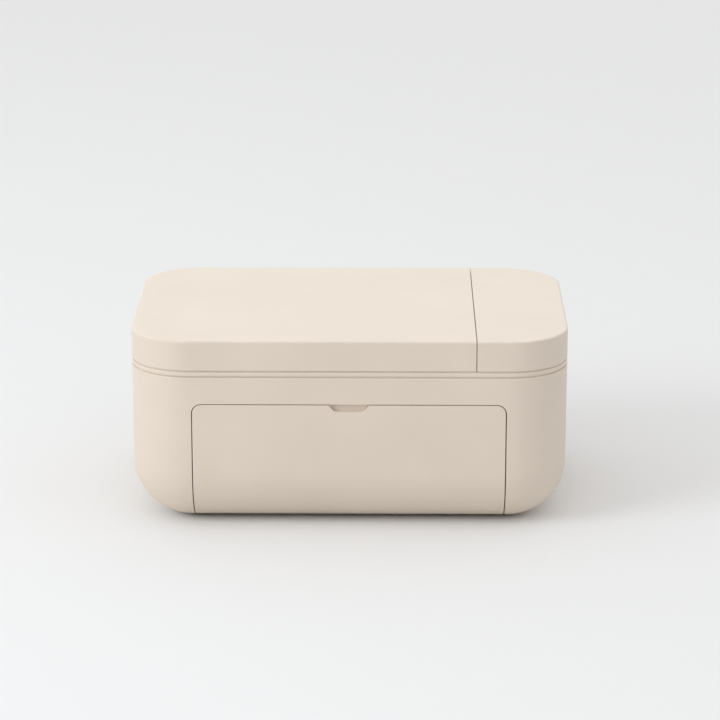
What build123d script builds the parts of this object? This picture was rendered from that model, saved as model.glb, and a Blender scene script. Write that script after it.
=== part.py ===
from build123d import *
import os
from math import acos, atan2, cos, hypot, pi, radians, sin, sqrt, tan

# Portable photo printer, in millimetres.
# The origin is on the table under the middle of the case. X runs along the front
# from left to right, Y runs from the front to the back and Z is up.

# Overall size of the case
overall_width = 194.5
overall_depth = 127.5
overall_height = 87.8
corner_radius = 26.6
bottom_round = 26.0
half_width = overall_width / 2
half_depth = overall_depth / 2
flat_half_width = half_width - bottom_round
flat_half_depth = half_depth - bottom_round

# Fits and gaps
running_fit = 0.05
snug_fit = 0.01
seat_gap = 0.2
piece_gap = 0.3
cut_over = 1.0

# Rubber feet, on the flat of the floor
foot_height = 0.6
foot_recess = 0.8
foot_radius = 5.0
foot_from_flat_side = 9.0
foot_from_flat_end = 5.5
foot_from_middle_x = flat_half_width - foot_from_flat_side
foot_from_middle_y = flat_half_depth - foot_from_flat_end

# Walls, and the heights of the shells above the feet
wall = 2.5
lid_height = 13.7
ring_height = 1.85
groove = 0.6
deck_thickness = 2.0
shell_bottom = foot_height
floor_top = shell_bottom + wall
lid_bottom = overall_height - lid_height
ring_top = lid_bottom - groove
ring_bottom = ring_top - ring_height
shell_top = ring_bottom - groove
deck_top = ring_bottom
deck_bottom = deck_top - deck_thickness
edge_round = 0.4
seam_round = 0.25

# Rim joint of shell, trim ring and lid
rim_lip = 0.5
rabbet_depth = 2.0
rabbet_floor = shell_top - rabbet_depth
tongue_gap = 0.1
ring_depth = 3.7
lip_gap = 0.4
lip_height = 1.9
land_gap = 0.15

# Paper, and the spaces across it: cassette, side frames and ribbon cartridge
paper_width = 100.0
paper_gap = 0.2
cassette_side_margin = 3.9
rail_width = 1.4
frame_thickness = 1.2
cartridge_side_gap = 1.1
cartridge_wall = 1.5
cassette_half = paper_width / 2 + cassette_side_margin
frame_inner = cassette_half + rail_width
frame_outer = frame_inner + frame_thickness
cartridge_outer = frame_inner - cartridge_side_gap
cartridge_inner = cartridge_outer - cartridge_wall

# Lid and fixed side cap
lid_wall = 2.2
lid_roof = 2.4
top_edge_round = 0.9
lid_past_frame = 0.7
lid_seam = 0.3
lid_right = frame_inner + lid_past_frame
cap_left = lid_right + lid_seam
roof_under = overall_height - lid_roof
lid_rib_thickness = 1.2
lid_rib_height = 2.6
lid_rib_from_end = 17.0
lid_rib_pitch = 19.0
lid_rib_from_side = 17.0
lid_rib_places_y = [
    side * (half_depth - lid_rib_from_end - step * lid_rib_pitch) for side in (-1, 1) for step in (0, 1)
]
lid_rib_places_x = [-half_width + lid_rib_from_side + step * lid_rib_pitch for step in (0, 1)]

# Lid hinges: the pin stands so high that the lid's rear edge clears the ring
lid_hinge_from_corner = 15.0
lid_hinge_from_seam = 18.0
lid_hinge_places_x = (
    -half_width + corner_radius + lid_hinge_from_corner,
    lid_right - lid_hinge_from_seam,
)
lid_knuckle_radius = 2.0
lid_pin_radius = 0.9
lid_knuckle_inset = 0.05
lid_hinge_clearance = 0.2
body_knuckle_length = 12.0
lid_knuckle_length = 6.0
hinge_leaf_thickness = 1.2
hinge_foot_reach = 9.0
lid_hinge_y = half_depth - lid_knuckle_radius - lid_knuckle_inset
hinge_reach = half_depth - lid_hinge_y - edge_round
hinge_groove = groove - lid_hinge_clearance
lid_hinge_z = lid_bottom + edge_round + (hinge_reach**2 - hinge_groove**2) / (2 * hinge_groove)

# Front door, which wraps round the bottom edge of the case
door_width = 138.4
door_below_shell_top = 12.5
door_wall = 2.5
door_corner_radius = 4.0
panel_gap = 0.42
door_tail_radius = 13.5
hinge_from_outer_round = 5.5
door_top = shell_top - door_below_shell_top
hinge_from_round_centre = bottom_round - hinge_from_outer_round
round_centre_y = -flat_half_depth
round_centre_z = shell_bottom + bottom_round
door_hinge_y = round_centre_y - hinge_from_round_centre * cos(radians(45))
door_hinge_z = round_centre_z - hinge_from_round_centre * sin(radians(45))
door_pin_radius = 1.25
door_pin_depth = 5.0
door_lug_radius = 4.0
door_lug_length = 6.0
door_half = door_width / 2
notch_top_width = 17.8
notch_bottom_width = 13.4
notch_height = 3.1
notch_depth = 2.0
notch_corner = 3.2
door_top_rib_height = 7.0
door_top_rib_depth = 2.6
door_rib_height = 1.4
door_rib_thickness = 1.2
door_rib_places_x = (-45.0, -15.0, 15.0, 45.0)

# Pocket behind the door, and the plate at its back with the two paper slots
pocket_gap = 0.3
pocket_wall = 2.0
tail_clearance = 1.0
pocket_half = door_half + panel_gap + pocket_gap
pocket_ceiling = door_top + panel_gap + pocket_gap
fascia_front = door_hinge_y + door_tail_radius + tail_clearance
fascia_back = fascia_front + pocket_wall

# Magnets and steel striker plates
magnet_width = 10.0
magnet_depth = 3.6
magnet_drop = 6.0
striker_height = 5.4
striker_thickness = 1.0
striker_gap = 0.3
door_magnet_from_side = 13.5
door_magnet_places_x = (-door_half + door_magnet_from_side, door_half - door_magnet_from_side)
lid_magnet_places_x = lid_hinge_places_x
lid_magnet_from_front = 9.0
lid_magnet_height = 2.2

# Places from front to back, behind the pocket's back plate
cartridge_behind_fascia = 1.5
cartridge_depth = 80.0
supply_from_cartridge_front = 13.0
platen_from_cartridge_front = 41.0
takeup_from_cartridge_back = 11.0
frame_past_cartridge = 3.0
well_margin = 1.5
feed_from_platen = 18.0
cartridge_front = fascia_back + cartridge_behind_fascia
cartridge_back = cartridge_front + cartridge_depth
supply_y = cartridge_front + supply_from_cartridge_front
pickup_y = supply_y
platen_y = cartridge_front + platen_from_cartridge_front
feed_y = platen_y + feed_from_platen
takeup_y = cartridge_back - takeup_from_cartridge_back
frame_front = fascia_back
frame_back = cartridge_back + frame_past_cartridge
well_front = cartridge_front - well_margin
well_back = cartridge_back + well_margin

# Levels, hung from the deck so that the take-up gear stays clear of it
spool_below_deck = 13.0
paper_below_spool = 15.0
cassette_below_paper = 18.5
cartridge_below_spool = 8.0
cartridge_above_spool = 10.0
spool_height = deck_bottom - spool_below_deck
paper_level = spool_height - paper_below_spool
cassette_top = paper_level - cassette_below_paper
cartridge_bottom = spool_height - cartridge_below_spool
cartridge_top = spool_height + cartridge_above_spool
frame_top = deck_bottom - piece_gap

# Floor plate that carries the side frames, with tabs at its screws
base_lift = 1.0
base_thickness = 1.2
base_bottom = floor_top + base_lift
base_top = base_bottom + base_thickness
base_tab_half = 4.0
base_flange_reach = 6.2
base_screw_from_frame = 3.25
base_screw_from_front = 6.0
base_screw_from_flat_end = 2.25
base_past_screw = 6.0
base_boss_radius = 4.0
base_rear_screw_y = flat_half_depth - base_screw_from_flat_end
base_back = base_rear_screw_y + base_past_screw

# Beams between the side frames
beam_thickness = 2.0
upper_beam_above_spool = 2.0
upper_beam_bottom = spool_height + upper_beam_above_spool

# Paper slots and guides
outlet_side_margin = 3.0
outlet_below_paper = 4.0
slot_below_paper = 2.0
slot_above_paper = 5.0
guide_thickness = 1.0
guide_below_paper = 0.4
exit_guide_from_platen = 8.0
rear_guide_from_feed = 5.8
guide_side_margin = 2.0
outlet_half = paper_width / 2 + outlet_side_margin
outlet_bottom = paper_level - outlet_below_paper
outlet_top = paper_level + slot_above_paper
rear_slot_bottom = paper_level - slot_below_paper
rear_slot_top = paper_level + slot_above_paper
guide_top = paper_level - guide_below_paper
guide_bottom = guide_top - guide_thickness
exit_guide_back = platen_y - exit_guide_from_platen
rear_guide_front = feed_y + rear_guide_from_feed
guide_half = paper_width / 2 + guide_side_margin
cassette_from_frame_back = 8.5
cassette_back = frame_back - cassette_from_frame_back

# Rollers
shaft_radius = 2.5
platen_radius = 6.0
platen_past_paper = 1.5
feed_radius = 3.5
feed_from_frame = 1.8
pinch_radius = 3.0
pinch_shaft_radius = 1.5
pickup_radius = 8.5
pickup_tyre_width = 12.0
pickup_tyre_places_x = (-24.0, 24.0)
pickup_lift = 0.5
bush_radius = 4.2
bush_flange_radius = 5.2
bush_flange = 0.8
shaft_end_gap = 0.8
platen_half = paper_width / 2 + platen_past_paper
feed_half = frame_inner - feed_from_frame
pinch_half = paper_width / 2
platen_centre = (platen_y, paper_level - platen_radius)
feed_centre = (feed_y, paper_level - feed_radius)
pinch_centre = (feed_y, paper_level + paper_gap + pinch_radius)
pickup_centre = (pickup_y, cassette_top - pickup_lift + pickup_radius)

# Gears, in three rows between the right side frame and the gear plate
gear_module = 0.7
pressure_angle = radians(25)
addendum = 0.9 * gear_module
dedendum = 1.25 * gear_module
tooth_thinning = 0.08
mesh_play = 0.05
feed_teeth = 14
platen_teeth = 24
compound_small_teeth = 18
compound_big_teeth = 40
pinion_teeth = 12
pickup_idler_teeth = 33
pickup_teeth = 34
takeup_teeth = 30
ribbon_pinion_teeth = 12
row_gap = 0.5
first_row_gap = 0.8
plate_gap = 0.7
first_row = frame_outer + first_row_gap
first_row_width = 4.0
second_row = first_row + first_row_width + row_gap
second_row_width = 3.0
third_row = second_row + second_row_width + row_gap
third_row_width = 3.0
gear_plate_inner = third_row + third_row_width + plate_gap
gear_plate_thickness = 1.2
gear_plate_outer = gear_plate_inner + gear_plate_thickness
gear_plate_corner = 5.0
gear_plate_lift = 4.2
gear_plate_below_deck = 2.0
gear_plate_past_pickup = 9.0
gear_plate_past_takeup = 14.0
gear_plate_front = pickup_y - gear_plate_past_pickup
gear_plate_back = takeup_y + gear_plate_past_takeup
gear_plate_bottom = base_top + gear_plate_lift
gear_plate_top = deck_bottom - gear_plate_below_deck
gear_pin_radius = 1.5
standoff_radius = 2.0
standoff_centres = (
    (platen_y + 2.0, spool_height + 4.0),
    (takeup_y + 10.5, paper_level - 9.5),
    (pickup_y - 3.0, paper_level + 9.0),
)
motor_shaft_radius = 1.0
motor_shaft_depth = 4.0
feed_motor_radius = 10.0
feed_motor_length = 10.5
feed_motor_angle = radians(-8)
ribbon_motor_radius = 6.0
ribbon_motor_length = 10.0
ribbon_motor_angle = radians(-75)
motor_boss_radius = 4.0

# Ribbon cartridge
spool_tube_radius = 4.0
spool_journal_radius = 3.0
spool_bore_radius = 2.0
supply_roll_radius = 9.4
takeup_roll_radius = 5.6
film_past_paper = 1.0
film_thickness = 0.12
film_clearance = 0.08
film_peel_reach = 1.2
film_half = paper_width / 2 + film_past_paper
cartridge_corner = 5.0
cartridge_rail = 1.3
cartridge_rail_margin = 7.0
support_tab_thickness = 1.2
support_tab_places_y = (
    (platen_y - 18.0, platen_y - 10.0),
    (cartridge_back - 9.0, cartridge_back - 2.0),
)
takeup_dog_length = 4.0
supply_centre = (supply_y, spool_height)
takeup_centre = (takeup_y, spool_height)

# Thermal head, hung under the lid
head_gap = 0.35
head_ridge_half = 1.5
head_ridge_height = 2.3
head_plate_half_depth = 6.0
head_plate_thickness = 1.4
head_past_paper = 1.0
heat_sink_half_depth = 9.5
heat_sink_inset = 1.0
heat_sink_height = 14.0
heat_sink_slot_count = 4
heat_sink_slot_pitch = 4.4
heat_sink_slot_width = 2.2
heat_sink_slot_depth = 8.0
carrier_gap = 5.0
carrier_inset = 2.0
carrier_half_depth = 9.0
carrier_wall = 1.6
carrier_post_from_end = 12.0
carrier_post_radius = 2.0
carrier_post_depth = 7.0
carrier_post_spare = 2.0
leaf_half_length = 9.0
leaf_half_width = 4.0
leaf_thickness = 0.5
leaf_from_middle_x = 16.0
head_half = paper_width / 2 + head_past_paper
heat_sink_half = paper_width / 2 - heat_sink_inset
carrier_half = paper_width / 2 - carrier_inset
head_ridge_bottom = paper_level + head_gap
head_plate_bottom = head_ridge_bottom + head_ridge_height
heat_sink_bottom = head_plate_bottom + head_plate_thickness
heat_sink_top = heat_sink_bottom + heat_sink_height
carrier_bottom = heat_sink_top + carrier_gap
carrier_post_places_x = (-carrier_half + carrier_post_from_end, carrier_half - carrier_post_from_end)

# Power button and its light, on the right-hand side
button_y = 12.0
button_below_shell_top = 23.0
button_radius = 6.0
button_recess = 0.2
button_travel = 0.8
button_flange = 1.2
button_flange_thickness = 1.2
button_stem_radius = 1.5
light_above_button = 12.0
light_radius = 1.2
switch_thickness = 1.0
switch_half = 3.0
button_z = shell_top - button_below_shell_top
light_z = button_z + light_above_button

# Electronics
board_thickness = 1.6
main_board_gap = 3.9
main_board_front = -34.0
main_board_from_motor = 1.0
main_board_lift = 14.0
main_board_below_deck = 5.0
board_post_radius = 2.5
board_post_inset = 4.0
main_board_x = half_width - wall - main_board_gap - board_thickness
main_board_bottom = floor_top + main_board_lift
main_board_top = deck_bottom - main_board_below_deck
power_board_lift = 26.0
power_board_from_frame = 1.0
power_board_from_column = 2.15
power_board_front = -18.0
power_board_post_places_y = (-12.0, 22.0)
power_board_post_radius = 2.2
power_board_bottom = floor_top + power_board_lift
power_board_right = -frame_outer - power_board_from_frame
power_board_back = half_depth - wall - 1.0
socket_from_board_side = 5.0
socket_x = power_board_right - socket_from_board_side
dc_inlet_width = 9.0
dc_inlet_height = 11.0
dc_inlet_length = 13.0
dc_nose_radius = 4.0
dc_bore_radius = 3.0
dc_bore_depth = 9.5
dc_pin_radius = 1.0
usb_width = 9.0
usb_height = 3.2
usb_length = 7.4
usb_wall = 0.35
usb_depth = 6.4
usb_tongue_thickness = 0.7
usb_tongue_width = 6.6
socket_gap = 0.15

# Cooling fan on the left-hand side
fan_z = 42.0
fan_half = 15.0
fan_thickness = 9.0
fan_bore_radius = 13.4
fan_rotor_radius = 12.8
fan_hub_radius = 5.5
fan_blade_count = 7
fan_blade_thickness = 0.9
fan_blade_pitch = 38.0
fan_axle_radius = 1.0
fan_strut_width = 1.6
fan_strut_thickness = 1.4
fan_left = -half_width + wall

# Vents
vent_width = 2.0
vent_length = 24.0
vent_pitch = 4.2
fan_vent_count = 6
rear_vent_count = 4
rear_vent_from_slot = 11.0
rear_vent_z = 42.0
rear_vent_x = outlet_half + rear_vent_from_slot

# Columns that carry the deck and the side cap, and the screws
column_radius = 3.5
column_from_case = 12.6
column_x = half_width - column_from_case
column_y = half_depth - column_from_case
column_places = [(side * column_x, end * column_y) for side in (-1, 1) for end in (-1, 1)]
power_board_left = -column_x + column_radius + power_board_from_column
cap_post_radius = 3.2
cap_post_from_side = 25.0
cap_post_from_end = 13.0
cap_post_from_frame = 6.5
cap_inner_post_y = -20.0
cap_post_places = [
    (half_width - cap_post_from_side, end * (half_depth - cap_post_from_end)) for end in (-1, 1)
]
cap_post_places.append((frame_outer + cap_post_from_frame, cap_inner_post_y))
screw_radius = 1.25
screw_head_radius = 2.4
screw_head_height = 1.4
screw_length = 8.0


def block(low, high, mode=Mode.ADD):
    """Box between two opposite corners."""
    middle = tuple((a + b) / 2 for a, b in zip(low, high))
    size = [b - a for a, b in zip(low, high)]
    with Locations(middle):
        Box(*size, mode=mode)


def rods(centres, start_x, end_x, radius, mode=Mode.ADD):
    """Round bars along X, one through each (y, z) centre."""
    with BuildSketch(Plane.YZ.offset(start_x)) as discs:
        with Locations(*centres):
            Circle(radius)
    extrude(discs.sketch, amount=end_x - start_x, mode=mode)


def posts(centres, bottom, top, radius, mode=Mode.ADD):
    """Upright round bars, one through each (x, y) centre."""
    with BuildSketch(Plane.XY.offset(bottom)) as discs:
        with Locations(*centres):
            Circle(radius)
    extrude(discs.sketch, amount=top - bottom, mode=mode)


def case_outline(inset, mode=Mode.ADD):
    """Plan of the case, moved in from its outer face by inset."""
    RectangleRounded(
        overall_width - 2 * inset,
        overall_depth - 2 * inset,
        corner_radius - inset,
        mode=mode,
    )


def case_block(inset, bottom, top):
    """Solid with the plan of the case and its round bottom edge, moved in by inset."""
    with BuildPart() as solid:
        with BuildSketch(Plane.XY.offset(bottom)):
            case_outline(inset)
        extrude(amount=top - bottom)
        fillet(solid.edges().group_by(Axis.Z)[0], bottom_round - inset)
    return solid.part


def cover_block():
    """Solid slab of the case above the upper groove, from which lid and cap are cut."""
    with BuildPart() as solid:
        with BuildSketch(Plane.XY.offset(lid_bottom)):
            case_outline(0)
        extrude(amount=lid_height)
        fillet(solid.edges().group_by(Axis.Z)[-1], top_edge_round)
        fillet(solid.edges().group_by(Axis.Z)[0], edge_round)
    return solid.part


def door_volume(grow):
    """Space of the front door, larger by grow at its edges and round its tail."""
    half = door_half + grow
    front = -half_depth - cut_over
    with BuildPart() as space:
        with BuildSketch(Plane.XZ.offset(-front)):
            with Locations((0, door_top + grow)):
                RectangleRounded(
                    2 * half,
                    2 * door_top,
                    door_corner_radius + grow,
                    align=(Align.CENTER, Align.MAX),
                )
        extrude(amount=front - door_hinge_y)
        rods([(door_hinge_y, door_hinge_z)], -half, half, door_tail_radius + grow)
    return space.part


def mesh_distance(first_teeth, second_teeth):
    """Distance between the centres of two meshing gears."""
    return gear_module * (first_teeth + second_teeth) / 2 + mesh_play


def third_centre(first, second, from_first, from_second):
    """Point at given distances from two centres, on the lower side of them."""
    gap = hypot(second[0] - first[0], second[1] - first[1])
    along = (from_first**2 - from_second**2 + gap**2) / (2 * gap)
    across = sqrt(from_first**2 - along**2)
    step_y = (second[0] - first[0]) / gap
    step_z = (second[1] - first[1]) / gap
    down = -1 if step_y > 0 else 1
    return (
        first[0] + along * step_y - down * across * step_z,
        first[1] + along * step_z + down * across * step_y,
    )


def meshing_phase(driver_centre, driver_teeth, driver_phase, centre, teeth):
    """Angle of a gear's first tooth at which it meshes with its driver."""
    direction = atan2(centre[1] - driver_centre[1], centre[0] - driver_centre[0])
    part_way = ((direction - driver_phase) * driver_teeth / (2 * pi)) % 1
    return direction + pi - (2 * pi / teeth) * (0.5 - part_way)


def gear_outline(teeth, centre, phase):
    """Corner points of a spur gear whose flanks follow the involute."""
    pitch_radius = gear_module * teeth / 2
    base_radius = pitch_radius * cos(pressure_angle)
    root_radius = pitch_radius - dedendum
    tip_radius = pitch_radius + addendum
    flank_radii = (max(base_radius, root_radius), pitch_radius, tip_radius)
    pitch_half_angle = pi / (2 * teeth) - tooth_thinning / (2 * pitch_radius)
    pitch_involute = tan(pressure_angle) - pressure_angle

    def half_angle(radius):
        angle = acos(min(1.0, base_radius / radius))
        return pitch_half_angle + pitch_involute - (tan(angle) - angle)

    rising = [(radius, -half_angle(radius)) for radius in flank_radii]
    if base_radius > root_radius:
        rising.insert(0, (root_radius, rising[0][1]))
    falling = [(radius, -angle) for radius, angle in reversed(rising)]
    points = []
    for tooth in range(teeth):
        middle = phase + 2 * pi * tooth / teeth
        for radius, angle in rising + falling:
            y = centre[0] + radius * cos(middle + angle)
            z = centre[1] + radius * sin(middle + angle)
            points.append((y, z))
    return points


def gear_row(teeth, centre, phase, start_x, width):
    """One row of gear teeth on a disc, along X."""
    with BuildSketch(Plane.YZ.offset(start_x)) as toothed:
        with BuildLine():
            Polyline(*gear_outline(teeth, centre, phase), close=True)
        make_face()
    extrude(toothed.sketch, amount=width)


def save(piece, label):
    """Name a finished piece and write it to its own file."""
    piece.part.label = label
    export_step(piece.part, f"parts/{label}.step")


os.makedirs("parts", exist_ok=True)

# Places of the gears, each worked out from the gears that it meshes with
compound_centre = third_centre(
    platen_centre,
    feed_centre,
    mesh_distance(platen_teeth, compound_small_teeth),
    mesh_distance(feed_teeth, compound_small_teeth),
)
pickup_idler_centre = third_centre(
    compound_centre,
    pickup_centre,
    mesh_distance(compound_small_teeth, pickup_idler_teeth),
    mesh_distance(pickup_teeth, pickup_idler_teeth),
)
pinion_distance = mesh_distance(compound_big_teeth, pinion_teeth)
feed_motor_centre = (
    compound_centre[0] + pinion_distance * cos(feed_motor_angle),
    compound_centre[1] + pinion_distance * sin(feed_motor_angle),
)
ribbon_distance = mesh_distance(takeup_teeth, ribbon_pinion_teeth)
ribbon_motor_centre = (
    takeup_centre[0] + ribbon_distance * cos(ribbon_motor_angle),
    takeup_centre[1] + ribbon_distance * sin(ribbon_motor_angle),
)
feed_phase = meshing_phase(compound_centre, compound_small_teeth, 0, feed_centre, feed_teeth)
platen_phase = meshing_phase(
    compound_centre, compound_small_teeth, 0, platen_centre, platen_teeth
)
pinion_phase = meshing_phase(
    compound_centre, compound_big_teeth, 0, feed_motor_centre, pinion_teeth
)
pickup_idler_phase = meshing_phase(
    compound_centre, compound_small_teeth, 0, pickup_idler_centre, pickup_idler_teeth
)
pickup_phase = meshing_phase(
    pickup_idler_centre, pickup_idler_teeth, pickup_idler_phase, pickup_centre, pickup_teeth
)
ribbon_phase = meshing_phase(
    takeup_centre, takeup_teeth, 0, ribbon_motor_centre, ribbon_pinion_teeth
)

# Rear end of the main board, in front of the motors
main_board_back = feed_motor_centre[0] - feed_motor_radius - main_board_from_motor

# Places of screws, feet and the posts of the power board
foot_places = [
    (side * foot_from_middle_x, end * foot_from_middle_y) for side in (-1, 1) for end in (-1, 1)
]
base_screw_x = frame_outer + base_screw_from_frame
base_screw_places = [
    (side * base_screw_x, end)
    for side in (-1, 1)
    for end in (frame_front + base_screw_from_front, base_rear_screw_y)
]
power_board_middle = (power_board_left + power_board_right) / 2
power_board_post_places = [(power_board_middle, place) for place in power_board_post_places_y]

# Outer shell: a tub with a door opening, vents and sockets
case_solid = case_block(0, shell_bottom, shell_top)
case_cavity = case_block(wall, floor_top, overall_height)
inner_room = case_block(wall + seat_gap, floor_top + seat_gap, overall_height)
with BuildPart() as columns:
    posts(column_places, floor_top, deck_bottom, column_radius)
    add(case_solid, mode=Mode.INTERSECT)
with BuildPart() as outer_shell:
    add(case_solid)
    fillet(outer_shell.edges().group_by(Axis.Z)[-1], edge_round)
    add(case_cavity, mode=Mode.SUBTRACT)
    with BuildSketch(Plane.XY.offset(rabbet_floor)):
        case_outline(rim_lip)
    extrude(amount=rabbet_depth + cut_over, mode=Mode.SUBTRACT)
    add(columns.part)
    posts(base_screw_places, floor_top, base_bottom, base_boss_radius)
    posts(power_board_post_places, floor_top, power_board_bottom, power_board_post_radius)
    board_post_centres = [
        (place, height)
        for place in (main_board_front + board_post_inset, main_board_back - board_post_inset)
        for height in (main_board_bottom + board_post_inset, main_board_top - board_post_inset)
    ]
    rods(
        board_post_centres,
        main_board_x + board_thickness,
        half_width - wall,
        board_post_radius,
    )
    add(door_volume(panel_gap), mode=Mode.SUBTRACT)
    posts(column_places, deck_bottom - screw_length, deck_bottom, screw_radius, Mode.SUBTRACT)
    posts(foot_places, shell_bottom, shell_bottom + foot_recess, foot_radius, Mode.SUBTRACT)
    posts(
        base_screw_places,
        shell_bottom + wall / 2,
        base_bottom,
        screw_radius,
        Mode.SUBTRACT,
    )
    with BuildSketch(Plane.YZ.offset(-half_width - cut_over)):
        with Locations((0, fan_z)):
            with GridLocations(vent_pitch, vent_pitch, fan_vent_count, 1):
                SlotOverall(vent_length, vent_width, rotation=90)
    extrude(amount=wall + 2 * cut_over, mode=Mode.SUBTRACT)
    with BuildSketch(Plane.XZ.offset(-half_depth - cut_over)):
        with Locations((rear_vent_x, rear_vent_z)):
            with GridLocations(vent_pitch, vent_pitch, rear_vent_count, 1):
                SlotOverall(vent_length, vent_width, rotation=90)
        with Locations((0, (rear_slot_bottom + rear_slot_top) / 2)):
            SlotOverall(2 * outlet_half, rear_slot_top - rear_slot_bottom)
        with Locations((socket_x, power_board_bottom + board_thickness + dc_inlet_height / 2)):
            Circle(dc_nose_radius + socket_gap)
        with Locations((socket_x, power_board_bottom - usb_height / 2)):
            SlotOverall(usb_width + 2 * socket_gap, usb_height + 2 * socket_gap)
    extrude(amount=wall + 2 * cut_over, mode=Mode.SUBTRACT)
    rods(
        [(button_y, button_z)],
        half_width - wall - cut_over,
        half_width + cut_over,
        button_radius + piece_gap,
        Mode.SUBTRACT,
    )
    rods(
        [(button_y, light_z)],
        half_width - wall - cut_over,
        half_width + cut_over,
        light_radius + snug_fit,
        Mode.SUBTRACT,
    )
save(outer_shell, "outer_shell")

# Trim ring between the two grooves
with BuildPart() as trim_ring:
    with BuildSketch(Plane.XY.offset(ring_bottom)):
        case_outline(0)
    extrude(amount=ring_height)
    fillet(trim_ring.edges().group_by(Axis.Z)[-1], edge_round)
    fillet(trim_ring.edges().group_by(Axis.Z)[0], edge_round)
    with BuildSketch(Plane.XY.offset(ring_bottom)):
        case_outline(ring_depth)
    extrude(amount=ring_height, mode=Mode.SUBTRACT)
    with BuildSketch(Plane.XY.offset(rabbet_floor)):
        case_outline(rim_lip + tongue_gap)
        case_outline(wall, Mode.SUBTRACT)
    extrude(amount=ring_bottom - rabbet_floor)
    with BuildSketch(Plane.XY.offset(ring_top)):
        case_outline(rim_lip + tongue_gap)
        case_outline(ring_depth, Mode.SUBTRACT)
        with Locations((0, half_depth - corner_radius)):
            Rectangle(
                overall_width,
                overall_depth,
                align=(Align.CENTER, Align.MIN),
                mode=Mode.SUBTRACT,
            )
    extrude(amount=groove - land_gap)
    with BuildSketch(Plane.XY.offset(ring_top)):
        case_outline(lid_wall + lip_gap)
        case_outline(ring_depth, Mode.SUBTRACT)
        with Locations((lid_right - lid_wall - groove, 0)):
            Rectangle(
                overall_width,
                overall_depth,
                align=(Align.MIN, Align.CENTER),
                mode=Mode.SUBTRACT,
            )
        with Locations((0, half_depth - corner_radius)):
            Rectangle(
                overall_width,
                overall_depth,
                align=(Align.CENTER, Align.MIN),
                mode=Mode.SUBTRACT,
            )
    extrude(amount=lip_height)
save(trim_ring, "trim_ring")

# Deck under the lid, with the well for the ribbon cartridge
with BuildPart() as top_deck:
    with BuildSketch(Plane.XY.offset(deck_bottom)):
        case_outline(wall + lip_gap)
        with Locations((0, (well_front + well_back) / 2)):
            RectangleRounded(
                2 * frame_inner,
                well_back - well_front,
                cartridge_corner,
                mode=Mode.SUBTRACT,
            )
    extrude(amount=deck_thickness)
    posts(column_places, deck_bottom, deck_top, screw_radius + snug_fit, Mode.SUBTRACT)
    posts(cap_post_places, deck_bottom, deck_top, screw_radius + snug_fit, Mode.SUBTRACT)
save(top_deck, "top_deck")

# Lid: a shallow shell with ribs, hinge knuckles and magnet blocks
lid_knuckle_start = body_knuckle_length / 2 + piece_gap
with BuildPart() as lid:
    add(cover_block())
    block(
        (lid_right, -half_depth, lid_bottom),
        (half_width, half_depth, overall_height),
        Mode.SUBTRACT,
    )
    fillet(lid.faces().sort_by(Axis.X)[-1].edges(), seam_round)
    with BuildSketch(Plane.XY.offset(lid_bottom)):
        case_outline(lid_wall)
        with Locations((lid_right - lid_wall, 0)):
            Rectangle(
                overall_width,
                overall_depth,
                align=(Align.MIN, Align.CENTER),
                mode=Mode.SUBTRACT,
            )
    extrude(amount=lid_height - lid_roof, mode=Mode.SUBTRACT)
    for rib_y in lid_rib_places_y:
        block(
            (lid_rib_places_x[0], rib_y, roof_under - lid_rib_height),
            (lid_right - lid_wall, rib_y + lid_rib_thickness, roof_under),
        )
    for rib_x in lid_rib_places_x:
        block(
            (rib_x, -half_depth + lid_wall, roof_under - lid_rib_height),
            (rib_x + lid_rib_thickness, half_depth - lid_wall, roof_under),
        )
    for magnet_x in lid_magnet_places_x:
        striker_bottom = deck_top + lid_magnet_height + striker_gap
        block(
            (
                magnet_x - magnet_width / 2,
                -half_depth + lid_magnet_from_front - magnet_drop / 2,
                striker_bottom + striker_thickness,
            ),
            (
                magnet_x + magnet_width / 2,
                -half_depth + lid_magnet_from_front + magnet_drop / 2,
                roof_under,
            ),
        )
    for hinge_x in lid_hinge_places_x:
        block(
            (hinge_x - lid_knuckle_start, lid_hinge_y - lid_knuckle_radius, lid_bottom),
            (
                hinge_x + lid_knuckle_start,
                half_depth,
                lid_hinge_z + lid_knuckle_radius + piece_gap,
            ),
            Mode.SUBTRACT,
        )
        for side in (-1, 1):
            knuckle_ends = sorted(
                (
                    hinge_x + side * lid_knuckle_start,
                    hinge_x + side * (lid_knuckle_start + lid_knuckle_length),
                )
            )
            rods([(lid_hinge_y, lid_hinge_z)], *knuckle_ends, lid_knuckle_radius)
            rods(
                [(lid_hinge_y, lid_hinge_z)],
                *knuckle_ends,
                lid_pin_radius + running_fit,
                Mode.SUBTRACT,
            )
save(lid, "lid")

# Side cap, fixed over the drive
with BuildPart() as side_cap:
    add(cover_block())
    block(
        (-half_width, -half_depth, lid_bottom),
        (cap_left, half_depth, overall_height),
        Mode.SUBTRACT,
    )
    fillet(side_cap.faces().sort_by(Axis.X)[0].edges(), seam_round)
    with BuildSketch(Plane.XY.offset(lid_bottom)):
        case_outline(lid_wall)
        with Locations((cap_left + lid_wall, 0)):
            Rectangle(
                overall_width,
                overall_depth,
                align=(Align.MAX, Align.CENTER),
                mode=Mode.SUBTRACT,
            )
    extrude(amount=lid_height - lid_roof, mode=Mode.SUBTRACT)
    posts(cap_post_places, deck_top, roof_under, cap_post_radius)
    posts(
        cap_post_places,
        deck_top,
        deck_top + screw_length,
        screw_radius + snug_fit,
        Mode.SUBTRACT,
    )
save(side_cap, "side_cap")

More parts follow.
